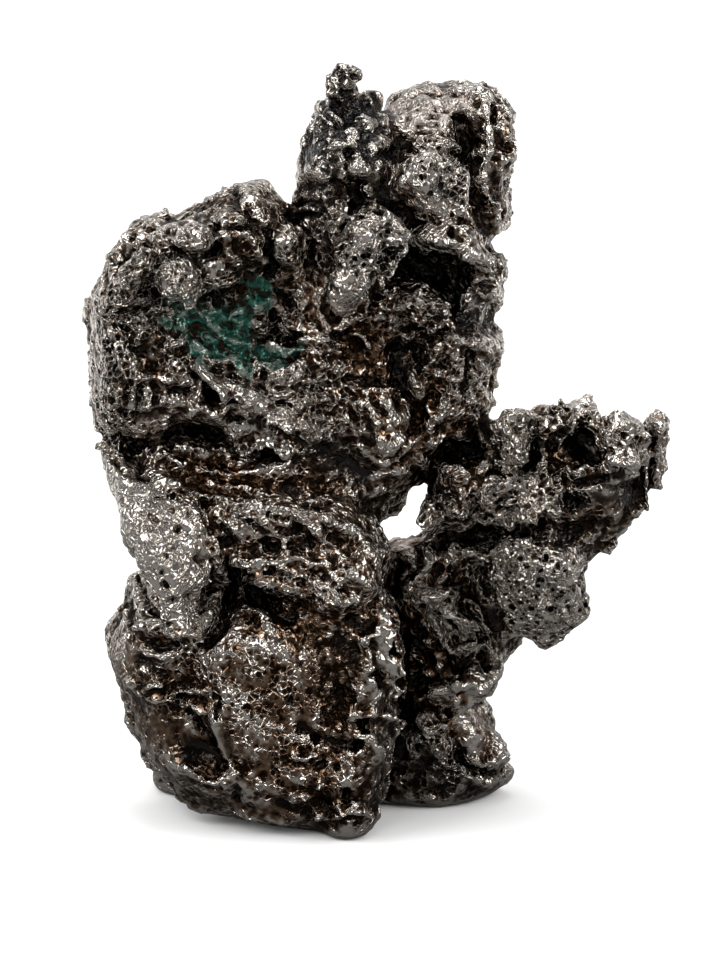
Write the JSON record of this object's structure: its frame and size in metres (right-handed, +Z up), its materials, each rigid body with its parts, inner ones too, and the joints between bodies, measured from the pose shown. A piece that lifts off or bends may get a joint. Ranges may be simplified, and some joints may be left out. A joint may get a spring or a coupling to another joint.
{
  "type": "meteorite",
  "caption": "Upright iron meteorite: a torn, pitted lump of nickel-iron with a side arm, knobs, ledges and a narrow through gap, standing on worn feet.",
  "frame": {"origin": "on the ground, under the middle of the bounding box", "axes": "+Z up along the longest extent, -Y towards the side that is seen from the front, +X to the right of that side, where the arm stands out"},
  "size_m": [0.0588, 0.0328, 0.0779],
  "materials": {
    "iron": "dark brown-grey nickel-iron with bare bright edges, glossy in places, with a green copper-like stain in one hollow"
  },
  "bodies": {
    "root": {"meteorite": "iron"}
  },
  "joints": []
}
